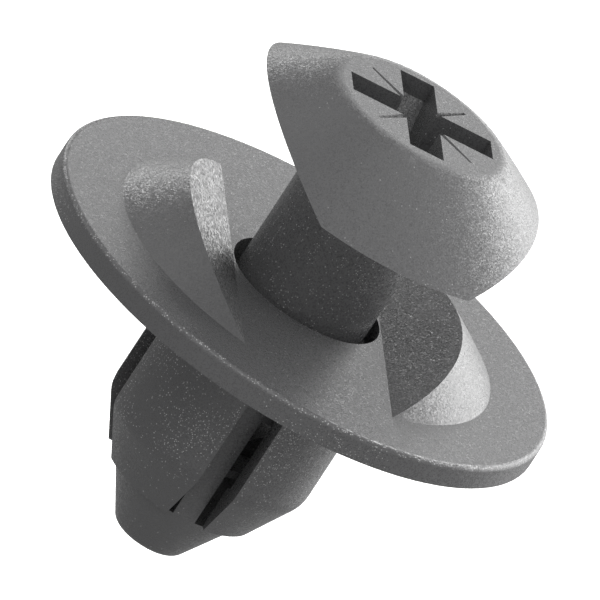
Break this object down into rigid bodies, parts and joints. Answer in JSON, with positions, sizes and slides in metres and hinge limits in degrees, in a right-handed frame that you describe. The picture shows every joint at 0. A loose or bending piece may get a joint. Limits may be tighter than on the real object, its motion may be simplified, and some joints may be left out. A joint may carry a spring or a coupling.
{
  "type": "fender clip",
  "caption": "Push-in wheel-arch liner clip: a flanged grommet with split legs and humps, and a pin with a cross recess that spreads the legs when pushed home.",
  "frame": {"origin": "centre of the flange's underside, on the clip's own axis", "axes": "+Z along the clip's axis towards its head, +X through the middle of the two humps, +Y along the channel between them"},
  "size_m": [0.02, 0.02, 0.0191],
  "materials": {
    "grommet": "fine-grained satin moulding",
    "pin": "fine-grained satin moulding"
  },
  "bodies": {
    "grommet": {"grommet": "grommet"},
    "pin": {"pin": "pin"}
  },
  "joints": [
    {"name": "pin_slide", "type": "slide", "parent": "grommet", "child": "pin", "axis": [0, 0, 1], "range_m": [-0.00525, 0]}
  ]
}
